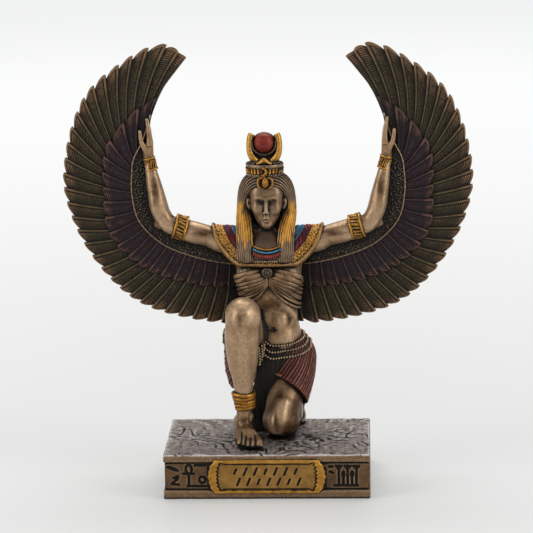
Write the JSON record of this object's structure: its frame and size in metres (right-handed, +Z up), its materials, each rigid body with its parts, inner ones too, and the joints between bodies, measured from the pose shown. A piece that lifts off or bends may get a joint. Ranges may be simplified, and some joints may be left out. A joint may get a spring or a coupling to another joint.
{
  "type": "isis statue",
  "caption": "Tabletop statue of a kneeling goddess with both arms raised along spread, upswept wings, on an oblong plinth.",
  "frame": {"origin": "middle of the plinth's underside", "axes": "+Z up, the figure faces -Y, +X to the viewer's right; the underside lies on Z = 0"},
  "size_m": [0.145, 0.0526, 0.1553],
  "materials": {
    "bronze_resin": "resin with a bronze skin, dark wash in the hollows, gold, green, purple, red and blue paint",
    "plinth_resin": "resin with a bronze skin, rough greyed ground on top, gold paint on the plaque"
  },
  "bodies": {
    "root": {"figure": "bronze_resin", "plinth": "plinth_resin"}
  },
  "joints": []
}
